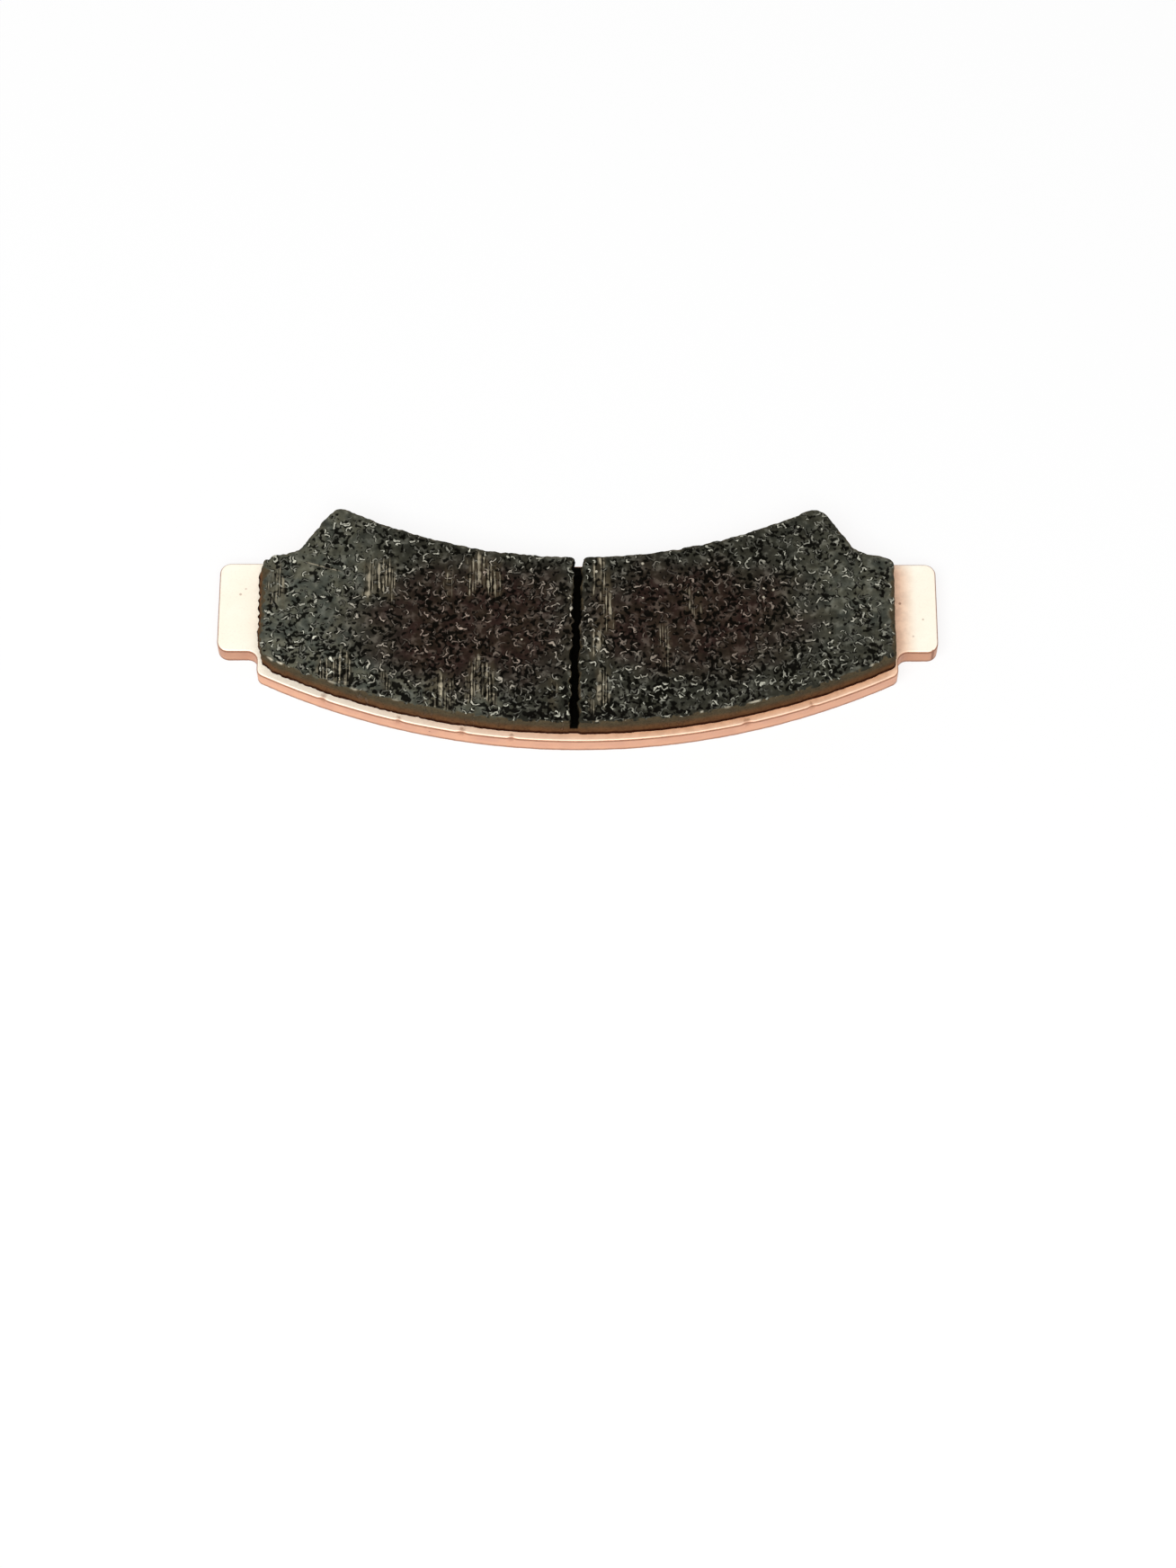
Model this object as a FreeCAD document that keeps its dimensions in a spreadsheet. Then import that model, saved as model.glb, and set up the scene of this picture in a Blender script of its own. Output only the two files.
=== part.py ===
import FreeCAD, Part
import Sketcher
import math
import os

# Disc brake pad of a bicycle: a copper-plated steel backing plate, blanked with an ear at each end,
# and one block of sintered lining bonded to it. Millimetres and degrees.
# The origin is on the plate's back face, midway between the ears and on their centre line.
# X runs from ear to ear, Y points to the rotor's axis, and Z points from the back face to the rotor.
# "Outer" is the side away from the rotor's axis, and "inner" the side towards it.

# Driving sizes
SIZES = {
    "overall_length": 70.0,  # plate, over both ears
    "plate_thickness": 2.0,  # steel sheet of the plate
    "outer_radius": 70.0,  # plate's outer edge, about the rotor's axis
    "ear_length": 3.95,  # how far an ear stands out of the plate's end
    "ear_height": 9.7,  # ear, from outer to inner edge
    "ear_step": 2.4,  # plate's outer corner below the ear's outer edge
    "ear_corner_radius": 1.1,  # corners of the ears
    "ear_root_radius": 1.0,  # hollow between an ear's outer edge and the plate's end
    "body_corner_radius": 0.8,  # corner between the plate's end and its outer edge
    "shoulder_length": 2.8,  # ear's inner edge, from the plate's end on to the foot of the horn
    "flank_angle": 55.0,  # slope of a horn's flank
    "horn_tip_radius": 1.7,  # tips of the horns, on plate and lining
    "horn_root_radius": 1.6,  # hollow at the foot of a horn, on plate and lining
    "rolled_edge_radius": 0.3,  # rounded edge that blanking leaves round the plate's front
    "lining_thickness": 2.5,  # lining above the plate
    "lining_width": 18.0,  # lining from outer to inner edge, along a radius of the rotor
    "edge_margin": 0.8,  # plate left bare along the outer edge
    "end_margin": 0.3,  # plate left bare at each end of the lining
    "flank_margin": 0.8,  # plate left bare along a horn's flank
    "shoulder_drop": 1.1,  # lining's end corner below the ear's inner edge
    "shoulder_angle": 20.5,  # slope of the lining's shoulder beside a horn
    "shoulder_corner_radius": 0.8,  # lining's corner between shoulder and end
    "lining_corner_radius": 0.7,  # lining's corner between end and outer edge
    "edge_break": 0.2,  # bevel round the lining's rubbing face
    "slot_width": 0.8,  # dust slot across the middle of the lining
    "slot_floor": 0.9,  # lining left under the slot
}

# Sizes that follow from the driving ones, as expressions that plate and lining share.
# The lining ends where the plate's rolled inner edge begins.
HALF_LENGTH = "sizes.overall_length / 2"
HALF_EAR = "sizes.ear_height / 2"
HALF_BODY = f"({HALF_LENGTH} - sizes.ear_length)"
HORN_FOOT = f"{HALF_BODY} - sizes.shoulder_length"
AXIS_HEIGHT = f"sqrt(sizes.outer_radius ^ 2 - {HALF_BODY} ^ 2) - {HALF_EAR} - sizes.ear_step"
HALF_LINING = f"{HALF_BODY} - sizes.end_margin"
LINING_END_HEIGHT = f"{HALF_EAR} - sizes.shoulder_drop"
LINING_OUTER_RADIUS = "sizes.outer_radius - sizes.edge_margin"
LINING_INNER_RADIUS = f"{LINING_OUTER_RADIUS} - sizes.lining_width"
PLATE_INNER_RADIUS = f"{LINING_INNER_RADIUS} - sizes.rolled_edge_radius"

# How far an edge may lie from the sketch's corner that it stands on
CORNER_TOLERANCE = 0.001


def make_sheet(document):
    """Put the driving sizes into a spreadsheet, one named cell each."""
    sheet = document.addObject("Spreadsheet::Sheet", "sizes")
    for row, (alias, value) in enumerate(SIZES.items(), 1):
        sheet.set(f"A{row}", alias.replace("_", " "))
        sheet.set(f"B{row}", str(value))
        sheet.setAlias(f"B{row}", alias)
    document.recompute()


def origin_plane(body, role):
    """One of a body's own origin planes."""
    return next(plane for plane in body.Origin.OriginFeatures if plane.Role == role)


def new_sketch(body, name):
    """An empty sketch on the body's XY plane."""
    sketch = body.newObject("Sketcher::SketchObject", name)
    sketch.AttachmentSupport = [(origin_plane(body, "XY_Plane"), "")]
    sketch.MapMode = "FlatFace"
    return sketch


def point(x, y):
    return FreeCAD.Vector(x, y, 0)


def arc_point(sketch, radius, x):
    """The point of an arc about the rotor's axis that lies a distance x from the middle line."""
    rise = math.sqrt(sketch.evalExpression(radius) ** 2 - x ** 2)
    return point(x, sketch.evalExpression(AXIS_HEIGHT) - rise)


def add_arc(sketch, end):
    """An arc about the rotor's axis, from the pad's middle line out to an end point."""
    axis = point(0, sketch.evalExpression(AXIS_HEIGHT))
    spoke = end - axis
    circle = Part.Circle(axis, FreeCAD.Vector(0, 0, 1), spoke.Length)
    return sketch.addGeometry(Part.ArcOfCircle(circle, -math.pi / 2, math.atan2(spoke.y, spoke.x)))


def start_of(side):
    """A sketch numbers the points of a line or an arc: its start is 1, its end 2, an arc's centre 3."""
    return side, 1


def end_of(side):
    return side, 2


def centre_of(arc):
    return arc, 3


def sketch_origin():
    """The point where the sketch's axes cross, which counts as the start of its level axis."""
    return start_of(-1)


def join(sketch, first, second):
    sketch.addConstraint(Sketcher.Constraint("Coincident", *first, *second))


def put_on_middle_line(sketch, place):
    """Keep a point on the sketch's upright axis."""
    upright_axis = -2
    sketch.addConstraint(Sketcher.Constraint("PointOnObject", *place, upright_axis))


def add_sides(sketch, corners):
    """Straight sides from corner to corner, each joined to the one before."""
    sides = [sketch.addGeometry(Part.LineSegment(*ends)) for ends in zip(corners, corners[1:])]
    for side, following in zip(sides, sides[1:]):
        join(sketch, end_of(side), start_of(following))
    return sides


def dimension(sketch, kind, *references, size):
    """Add a dimension whose value follows an expression on the sheet."""
    value = sketch.evalExpression(size)
    if kind == "Angle":
        value = math.radians(value)
    number = sketch.addConstraint(Sketcher.Constraint(kind, *references, value))
    sketch.setExpression(f"Constraints[{number}]", size)


def add_half_outline(sketch, corners, outer_radius, inner_radius):
    """Closed right half of an outline: outer arc, straight sides, inner arc and the middle line."""
    outer_arc = add_arc(sketch, corners[0])
    sides = add_sides(sketch, corners)
    inner_arc = add_arc(sketch, corners[-1])
    middle = sketch.addGeometry(
        Part.LineSegment(sketch.getPoint(*start_of(inner_arc)), sketch.getPoint(*start_of(outer_arc)))
    )
    join(sketch, end_of(outer_arc), start_of(sides[0]))
    join(sketch, end_of(sides[-1]), end_of(inner_arc))
    join(sketch, start_of(inner_arc), start_of(middle))
    join(sketch, end_of(middle), start_of(outer_arc))
    join(sketch, centre_of(outer_arc), centre_of(inner_arc))
    for place in (centre_of(outer_arc), start_of(middle), end_of(middle)):
        put_on_middle_line(sketch, place)
    dimension(sketch, "DistanceY", *sketch_origin(), *centre_of(outer_arc), size=AXIS_HEIGHT)
    dimension(sketch, "Radius", outer_arc, size=outer_radius)
    dimension(sketch, "Radius", inner_arc, size=inner_radius)
    return sides


def draw_plate(body):
    """Right half of the plate's outline, with sharp corners, and the corners that get a radius."""
    sketch = new_sketch(body, "plate_outline")
    half_length = sketch.evalExpression(HALF_LENGTH)
    half_body = sketch.evalExpression(HALF_BODY)
    half_ear = sketch.evalExpression(HALF_EAR)
    horn_foot = sketch.evalExpression(HORN_FOOT)
    corners = [
        arc_point(sketch, "sizes.outer_radius", half_body),
        point(half_body, -half_ear),
        point(half_length, -half_ear),
        point(half_length, half_ear),
        point(horn_foot, half_ear),
        arc_point(sketch, PLATE_INNER_RADIUS, horn_foot - half_ear),
    ]
    sides = add_half_outline(sketch, corners, "sizes.outer_radius", PLATE_INNER_RADIUS)
    end, ear_outer_edge, ear_end, ear_inner_edge, flank = sides
    for side in (end, ear_end):
        sketch.addConstraint(Sketcher.Constraint("Vertical", side))
    for side in (ear_outer_edge, ear_inner_edge):
        sketch.addConstraint(Sketcher.Constraint("Horizontal", side))
    dimension(sketch, "DistanceX", *sketch_origin(), *start_of(end), size=HALF_BODY)
    dimension(sketch, "DistanceX", *sketch_origin(), *start_of(ear_end), size=HALF_LENGTH)
    dimension(sketch, "DistanceY", *start_of(ear_end), *sketch_origin(), size=HALF_EAR)
    dimension(sketch, "DistanceY", *sketch_origin(), *end_of(ear_end), size=HALF_EAR)
    dimension(sketch, "DistanceX", *sketch_origin(), *start_of(flank), size=HORN_FOOT)
    dimension(sketch, "Angle", flank, size="180 - sizes.flank_angle")
    radii = {
        "ear_corner_radius": [start_of(ear_end), end_of(ear_end)],
        "ear_root_radius": [end_of(end)],
        "body_corner_radius": [start_of(end)],
        "horn_root_radius": [start_of(flank)],
        "horn_tip_radius": [end_of(flank)],
    }
    return sketch, radii


def draw_lining(body):
    """Right half of the lining's outline, with sharp corners, and the corners that get a radius."""
    sketch = new_sketch(body, "lining_outline")
    half_lining = sketch.evalExpression(HALF_LINING)
    half_ear = sketch.evalExpression(HALF_EAR)
    horn_foot = sketch.evalExpression(f"{HORN_FOOT} - sizes.flank_margin")
    corners = [
        arc_point(sketch, LINING_OUTER_RADIUS, half_lining),
        point(half_lining, sketch.evalExpression(LINING_END_HEIGHT)),
        point(horn_foot, half_ear),
        arc_point(sketch, LINING_INNER_RADIUS, horn_foot - half_ear),
    ]
    sides = add_half_outline(sketch, corners, LINING_OUTER_RADIUS, LINING_INNER_RADIUS)
    end, shoulder, flank = sides
    sketch.addConstraint(Sketcher.Constraint("Vertical", end))
    dimension(sketch, "DistanceX", *sketch_origin(), *start_of(end), size=HALF_LINING)
    dimension(sketch, "DistanceY", *sketch_origin(), *end_of(end), size=LINING_END_HEIGHT)
    dimension(sketch, "Angle", shoulder, size="180 - sizes.shoulder_angle")
    dimension(sketch, "Angle", flank, size="180 - sizes.flank_angle")
    # The foot of the plate's horn, from which the lining's flank keeps its margin
    plate_foot = sketch.addGeometry(Part.Point(point(sketch.evalExpression(HORN_FOOT), half_ear)), True)
    dimension(sketch, "DistanceX", *sketch_origin(), *start_of(plate_foot), size=HORN_FOOT)
    dimension(sketch, "DistanceY", *sketch_origin(), *start_of(plate_foot), size=HALF_EAR)
    dimension(sketch, "Distance", *start_of(plate_foot), flank, size="sizes.flank_margin")
    radii = {
        "lining_corner_radius": [start_of(end)],
        "shoulder_corner_radius": [end_of(end)],
        "horn_root_radius": [start_of(flank)],
        "horn_tip_radius": [end_of(flank)],
    }
    return sketch, radii


def draw_slot(body):
    """Rectangle of the dust slot on the rubbing face, from the plate's outer edge to its inner edge."""
    sketch = new_sketch(body, "slot_outline")
    sketch.setExpression(".AttachmentOffset.Base.z", "sizes.lining_thickness")
    half_slot = "sizes.slot_width / 2"
    outer_reach = f"sizes.outer_radius - ({AXIS_HEIGHT})"
    slot_length = f"sizes.outer_radius - ({PLATE_INNER_RADIUS})"
    half_width = sketch.evalExpression(half_slot)
    outer_y = -sketch.evalExpression(outer_reach)
    inner_y = outer_y + sketch.evalExpression(slot_length)
    corners = [
        point(-half_width, outer_y),
        point(half_width, outer_y),
        point(half_width, inner_y),
        point(-half_width, inner_y),
    ]
    outer_end, right_wall, inner_end, left_wall = add_sides(sketch, corners + corners[:1])
    join(sketch, end_of(left_wall), start_of(outer_end))
    for side in (outer_end, inner_end):
        sketch.addConstraint(Sketcher.Constraint("Horizontal", side))
    for side in (right_wall, left_wall):
        sketch.addConstraint(Sketcher.Constraint("Vertical", side))
    dimension(sketch, "DistanceX", *start_of(outer_end), *sketch_origin(), size=half_slot)
    dimension(sketch, "DistanceX", *sketch_origin(), *end_of(outer_end), size=half_slot)
    dimension(sketch, "DistanceY", *start_of(outer_end), *sketch_origin(), size=outer_reach)
    dimension(sketch, "DistanceY", *start_of(right_wall), *end_of(right_wall), size=slot_length)
    return sketch


def pad_both_halves(document, body, sketch, thickness):
    """Thicken the half outline and mirror it across the pad's middle line."""
    half = body.newObject("PartDesign::Pad", f"{body.Name}_half")
    half.Profile = sketch
    half.setExpression("Length", thickness)
    document.recompute()
    whole = body.newObject("PartDesign::Mirrored", f"{body.Name}_whole")
    whole.Originals = [half]
    whole.MirrorPlane = (origin_plane(body, "YZ_Plane"), [""])
    whole.Refine = True
    body.Tip = whole
    document.recompute()
    return whole


def upright_edges(feature, corners):
    """Names of the edges, left and right, that stand on corners of the half outline."""
    names = []
    for number, edge in enumerate(feature.Shape.Edges, 1):
        foot = edge.firstVertex().Point
        head = edge.lastVertex().Point
        is_upright = math.hypot(foot.x - head.x, foot.y - head.y) < CORNER_TOLERANCE
        offsets = [math.hypot(abs(foot.x) - corner.x, foot.y - corner.y) for corner in corners]
        if is_upright and min(offsets) < CORNER_TOLERANCE:
            names.append(f"Edge{number}")
    return names


def round_corners(document, body, feature, sketch, radii):
    """Round the outline's corners, one fillet for each named radius."""
    for radius, places in radii.items():
        corners = [sketch.getPoint(*place) for place in places]
        fillet = body.newObject("PartDesign::Fillet", f"{body.Name}_{radius}")
        fillet.Base = (feature, upright_edges(feature, corners))
        fillet.setExpression("Radius", f"sizes.{radius}")
        document.recompute()
        feature = fillet
    return feature


def front_face(feature):
    """Name of the feature's foremost face, the one that looks to the rotor."""
    faces = feature.Shape.Faces
    foremost = max(range(len(faces)), key=lambda index: faces[index].CenterOfMass.z)
    return f"Face{foremost + 1}"


def make_plate(document):
    """Backing plate: blanked from sheet, so only its front edge is rolled."""
    body = document.addObject("PartDesign::Body", "backing_plate")
    sketch, radii = draw_plate(body)
    blank = pad_both_halves(document, body, sketch, "sizes.plate_thickness")
    blank = round_corners(document, body, blank, sketch, radii)
    roll = body.newObject("PartDesign::Fillet", "rolled_edge")
    roll.Base = (blank, [front_face(blank)])
    roll.setExpression("Radius", "sizes.rolled_edge_radius")
    document.recompute()
    return body


def make_lining(document):
    """Lining: one pressed and sintered block, with a slot that stops short of the plate."""
    body = document.addObject("PartDesign::Body", "friction_lining")
    body.setExpression(".Placement.Base.z", "sizes.plate_thickness")
    sketch, radii = draw_lining(body)
    block = pad_both_halves(document, body, sketch, "sizes.lining_thickness")
    block = round_corners(document, body, block, sketch, radii)
    bevel = body.newObject("PartDesign::Chamfer", "edge_bevel")
    bevel.Base = (block, [front_face(block)])
    bevel.setExpression("Size", "sizes.edge_break")
    document.recompute()
    slot = body.newObject("PartDesign::Pocket", "dust_slot")
    slot.Profile = draw_slot(body)
    slot.setExpression("Length", "sizes.lining_thickness - sizes.slot_floor")
    document.recompute()
    if slot.Shape.Volume >= bevel.Shape.Volume:
        raise RuntimeError("the dust slot removes nothing from the lining")
    return body


def check(document, bodies):
    """Stop if any feature failed or a sub-part isn't one sound solid."""
    for item in document.Objects:
        if {"Invalid", "Error"} & set(item.State):
            raise RuntimeError(f"{item.Label} failed: {item.State}")
    for body in bodies:
        if body.Shape.isNull() or not body.Shape.isValid() or len(body.Shape.Solids) != 1:
            raise RuntimeError(f"{body.Label} isn't one sound solid")


def main():
    document = FreeCAD.newDocument("disc_brake_pad")
    make_sheet(document)
    bodies = [make_plate(document), make_lining(document)]
    document.recompute()
    check(document, bodies)
    os.makedirs("parts", exist_ok=True)
    for body in bodies:
        body.Shape.exportStep(f"parts/{body.Label}.step")
        print(f"{body.Label}: {body.Shape.Volume:.1f} cubic mm")


main()
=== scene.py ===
"""Looks of a disc brake pad: a sintered lining on a copper-plated plate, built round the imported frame."""

import math
import random
from functools import reduce

import bpy
from bpy.props import FloatProperty, FloatVectorProperty, IntProperty, PointerProperty
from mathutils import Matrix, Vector, kdtree, noise
from mathutils.geometry import delaunay_2d_cdt


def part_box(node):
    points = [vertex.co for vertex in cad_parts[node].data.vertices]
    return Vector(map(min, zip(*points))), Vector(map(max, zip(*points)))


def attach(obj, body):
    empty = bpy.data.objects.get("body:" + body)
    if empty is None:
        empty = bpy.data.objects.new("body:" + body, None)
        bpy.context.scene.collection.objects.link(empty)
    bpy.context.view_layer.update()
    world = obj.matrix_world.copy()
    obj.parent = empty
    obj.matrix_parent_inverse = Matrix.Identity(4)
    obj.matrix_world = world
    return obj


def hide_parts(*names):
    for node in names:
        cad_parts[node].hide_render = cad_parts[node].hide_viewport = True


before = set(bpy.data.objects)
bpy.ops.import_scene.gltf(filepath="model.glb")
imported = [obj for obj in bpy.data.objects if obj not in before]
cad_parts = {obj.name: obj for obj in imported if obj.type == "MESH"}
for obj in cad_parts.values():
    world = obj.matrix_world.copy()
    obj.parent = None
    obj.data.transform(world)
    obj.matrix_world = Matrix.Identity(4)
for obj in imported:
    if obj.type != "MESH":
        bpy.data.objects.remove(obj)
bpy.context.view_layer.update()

bl_info = {
    "name": "Disc brake pad",
    "version": (1, 0, 0),
    "blender": (4, 5, 0),
    "location": "3D View > Sidebar > Brake pad",
    "description": "Dresses a packed disc brake pad: its plate, its lining and a studio round them",
    "category": "Object",
}

LINING_LOW, LINING_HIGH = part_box("friction_lining")
MM = 0.001
# Points nearer to each other than this are one point.
SNAP = 0.001 * MM
# The way of filling a ring that gives every triangle of its hull, with the face in which each lies.
WHOLE_HULL = 0
# How far apart the layers of noise lie.
LAYER_STEP = Vector((17.3, 5.1, 9.7))
# Numbers of the Mix node's sockets for colours.
MIX_FIRST, MIX_SECOND, MIX_RESULT = 6, 7, 2

# The photograph's camera: its place in the pad's frame, its tilt from straight down and its turn.
CAMERA_PLACE = Vector((1.349, -183.336, 346.443)) * MM
CAMERA_TILT = math.radians(25.5)
CAMERA_TURN = math.radians(0.107)
FOCAL_PIXELS = 4450.0
IMAGE_HEIGHT = 1744.0
SENSOR_WIDTH = 36.0
CLIP_START = 0.01
# The soft box, which faces the pad: its two sides and its place.
SOFT_BOX_SIDES = 0.7, 0.5
SOFT_BOX_PLACE = Vector((-0.12, -0.32, 0.62))

# The rotor's axis, about which the lining's long edges curve.
ROTOR_AXIS = Vector((0.0, 55.49)) * MM
# Rows of points between the lining's base and the slot's floor, up its wall and round its upper edge.
FOOT_STEPS = 4
WALL_STEPS = 8
ARC_STEPS = 4
# Rows of points up the plate's side and round its rolled edge.
SIDE_STEPS = 9
ROLL_STEPS = 6

# The places and sizes that follow are in millimetres.
# Patches where the rubbing face is browner: middle x and y, half length and half width.
BROWN_PATCHES = (
    (-10.0, -3.2, 12.0, 7.5),
    (11.5, -2.3, 12.0, 6.5),
)
# Bands of grinding scratches along y: lowest and highest x, lowest and highest y, and how strong.
SCRATCHED_BANDS = (
    (-29.9, -28.5, -0.6, 3.4, 0.9),
    (-20.9, -17.7, -0.6, 3.6, 0.8),
    (-12.8, -12.2, 0.4, 3.4, 0.8),
    (-10.7, -7.5, 0.4, 4.3, 1.0),
    (-24.9, -21.9, -10.3, -6.6, 1.0),
    (-18.8, -18.2, -10.8, -8.6, 0.9),
    (-14.7, -14.1, -11.8, -9.8, 0.9),
    (-14.0, -12.0, -12.8, -8.4, 0.9),
    (-10.5, -7.9, -11.4, -7.0, 0.9),
    (-2.5, -1.9, -12.5, -8.9, 0.7),
    (1.5, 2.5, 0.2, 4.2, 1.2),
    (2.3, 3.3, -4.2, 2.2, 1.1),
    (1.4, 2.3, -6.8, -3.2, 1.1),
    (2.0, 3.0, -12.6, -8.4, 0.9),
    (1.2, 1.9, -12.9, -10.4, 0.7),
    (10.2, 12.1, -2.0, 0.7, 0.7),
    (8.1, 9.0, -8.6, -2.7, 0.6),
)
# A single slanting scratch on the left half of the rubbing face: the x and y of its ends, and its width.
SLANTING_SCRATCH = (-26.6, 3.7), (-22.6, 2.5)
SLANTING_WIDTH = 0.13
# Where the plate's outer edge is knocked, along x.
EDGE_KNOCKS = (-24.6, -17.2, -11.1, -6.3, 16.4, 22.7)
# Bare flecks along the lining's near edge: x, half length and strength.
EDGE_FLECKS = (
    (-29.6, 0.4, 0.8),
    (-28.6, 0.35, 1.0),
    (-23.5, 0.5, 0.5),
    (-21.4, 0.4, 0.5),
    (-17.4, 0.4, 0.4),
    (1.9, 0.2, 1.0),
    (11.9, 0.2, 0.6),
    (14.4, 0.4, 0.4),
    (17.0, 0.7, 0.7),
    (28.3, 0.25, 0.6),
)
# How far those flecks are from the rotor's axis, and half their width.
FLECK_RADIUS = 69.05
FLECK_HALF_WIDTH = 0.12
# Marks on the plate's ears: x and y, radius and strength.
EAR_MARKS = (
    (-32.9, 1.4, 0.18, 0.5),
    (-32.4, 2.0, 0.14, 0.35),
    (33.6, -1.25, 0.14, 0.45),
    (32.6, -3.1, 0.14, 0.4),
    (31.4, 0.5, 0.2, 0.7),
    (34.5, -4.7, 0.22, 0.8),
)
# Spans over which the lining's forms come or go: along x, along y or out from the rotor's axis.
LEFT_END_X = (-30.3, -29.4)
BLUNT_END_X = (28.5, 30.0)
SHOULDER_X = (28.4, 29.4)
SHOULDER_Y = (1.5, 2.6)
FLARE_Y = (-5.5, -3.0)
NEAR_CORNER_Y = (-6.6, -4.4)
NEAR_EDGE_RADIUS = (63.8, 67.0)
# How far from the slot's far end it begins to be broken out, and from where it fully is.
BREAKOUT_REACH = (1.3, 0.5)
# How far from the middle a point of the lining's edge still belongs to the slot.
SLOT_REACH = 2.0
# Distance between the ripples of the left end.
RIPPLE_PITCH = 0.85
# The plate's outer edge lies below this y.
OUTER_EDGE_Y = -8.0


def srgb(red, green, blue):
    """A colour in screen values from 0 to 255, as the linear colour that a shader takes."""
    shares = (value / 255.0 for value in (red, green, blue))
    return tuple(s / 12.92 if s <= 0.04045 else ((s + 0.055) / 1.055) ** 2.4 for s in shares)


def length(name, description, millimetres):
    """A property for a length, given in millimetres."""
    return FloatProperty(
        name=name, description=description, default=millimetres * MM, min=0.0, precision=6, unit="LENGTH"
    )


def colour(name, description, *screen_values):
    """A property for a colour, given in screen values."""
    return FloatVectorProperty(
        name=name, description=description, default=srgb(*screen_values), min=0.0, max=1.0, subtype="COLOR"
    )


def share(name, description, default):
    """A property for a plain factor."""
    return FloatProperty(name=name, description=description, default=default, min=0.0, soft_max=1.0)


class PlateSettings(bpy.types.PropertyGroup):
    """Sizes and colours of the copper-plated backing plate."""

    pitch: length("Mesh pitch", "Distance between neighbouring points of the plate's mesh", 0.3)
    roll_radius: length("Die roll", "Radius of the edge that the blanking die rolls over", 0.18)
    back_break: length("Back edge", "Width of the broken edge round the back", 0.05)
    waviness: length("Waviness", "How far the flat faces wander from flat", 0.01)
    shear_roughness: length("Sheared edge", "Roughness of the torn part of the blanked edge", 0.02)
    knock_depth: length("Knocks", "Depth of the knocks on the outer edge", 0.1)
    seed: IntProperty(name="Seed", description="Start of the random draws", default=3)
    face_colour: colour("Face", "Pale copper of the flat faces", 254, 247, 230)
    # Also used for the rosier painted shade next to the lining on the right ear.
    blush_and_shade_colour: colour("Blush", "Rosier copper where the plating is warmer", 250, 194, 154)
    # Darker than the face colour partly as painted shade of the side.
    side_colour: colour("Side", "Copper of the blanked edge", 220, 164, 136)
    # Also used for the painted shade lines along the plate's edges.
    mark_and_shade_colour: colour("Marks", "Dark marks and specks in the plating", 134, 80, 48)


class LiningSettings(bpy.types.PropertyGroup):
    """Sizes and colours of the sintered lining."""

    pitch: length("Mesh pitch", "Distance between neighbouring points of the lining's mesh", 0.14)
    edge_break: length("Edge break", "Mean radius of the crumbled upper edge", 0.24)
    crumble: length("Crumble", "How far the side walls wander", 0.07)
    flare: length("Flare", "How far the left end spreads towards the plate", 0.55)
    corner_inset: length("Corner inset", "How far the near left corner stands back", 0.3)
    shoulder: length("Shoulder", "How far the two shoulders stand out from the solid", 0.3)
    serration: length("Serration", "Depth of the ripples along the left end", 0.06)
    pore_size: length("Pore size", "Width of the pores in the rubbing face", 0.38)
    pore_depth: length("Pore depth", "Depth of the pores in the rubbing face", 0.12)
    slot_drift: length("Slot drift", "How far the slot leans over the lining's width", 0.45)
    slot_corner: length("Slot corner", "Radius of the slot's corners where it meets the lining's edge", 0.28)
    slot_raggedness: length("Slot raggedness", "How far the slot's walls wander", 0.17)
    slot_toe: length("Slot toe", "How far each wall of the slot rounds in at the slot's floor", 0.1)
    slot_lean: length("Slot lean", "How far the slot's right wall leans back from its floor to its top", 0.1)
    breakout_depth: length("Break-out depth", "How much deeper the slot's far end is broken out", 0.45)
    breakout_width: length("Break-out width", "How much each wall is broken out at the far end", 0.12)
    seed: IntProperty(name="Seed", description="Start of the random draws", default=7)
    ash_colour: colour("Ash", "Olive grey of the matrix at the ends", 93, 92, 78)
    slate_colour: colour("Slate", "Green grey patches of the matrix", 66, 71, 66)
    dusk_colour: colour("Dusk", "Darker grey of the matrix towards the middle", 41, 40, 33)
    brown_colour: colour("Brown", "Brown of the matrix in the middle of each half", 44, 35, 27)
    maroon_colour: colour("Maroon", "Redder patches within the brown", 45, 31, 27)
    # This dark colour goes in the pores, in the painted shade beside the strands and in the slot, where it is
    # painted shade.
    pore_and_shade_colour: colour("Pores", "Colour inside the pores and the slot", 7, 6, 4)
    strand_colour: colour("Strands", "Bright metal strands in the matrix", 194, 193, 177)
    bronze_colour: colour("Bronze", "Strands in the browner parts", 170, 152, 138)
    scratch_colour: colour("Scratches", "Bronze smeared by grinding", 162, 153, 132)
    fleck_colour: colour("Flecks", "Bare bronze flecks along the edges", 224, 216, 194)
    olive_colour: colour("Olive", "Upper part of the side walls and ground of the scratches", 83, 73, 55)
    # On the lower wall this brown is partly painted reflection of the copper plate.
    side_colour: colour("Side", "Pressed skin of the side walls", 106, 74, 48)
    foot_colour: colour("Foot", "Dark line where the lining meets the plate", 44, 18, 7)


class StageSettings(bpy.types.PropertyGroup):
    """Sizes and levels of the studio."""

    floor_size: FloatProperty(name="Floor", description="Side of the floor", default=3.0, unit="LENGTH")
    ambient: share("Ambient", "Level of the light from all round", 0.39)
    key_power: FloatProperty(name="Key", description="Power of the soft box", default=4.7, unit="POWER")
    floor_glow: share("Floor glow", "Share of plain white in the floor as the camera sees it", 0.8)
    floor_colour: colour("Floor", "Colour of the paper floor", 250, 250, 250)


# Outlines


def smoothstep(low, high, value):
    """0 below low, 1 above high, and a smooth rise between."""
    part = min(max((value - low) / (high - low), 0.0), 1.0)
    return part * part * (3.0 - 2.0 * part)


def wander(point, size, layer):
    """Smooth noise from -1 to 1 whose lumps are about size wide. Each layer has lumps of its own."""
    return noise.noise(point / size + LAYER_STEP * layer)


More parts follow.
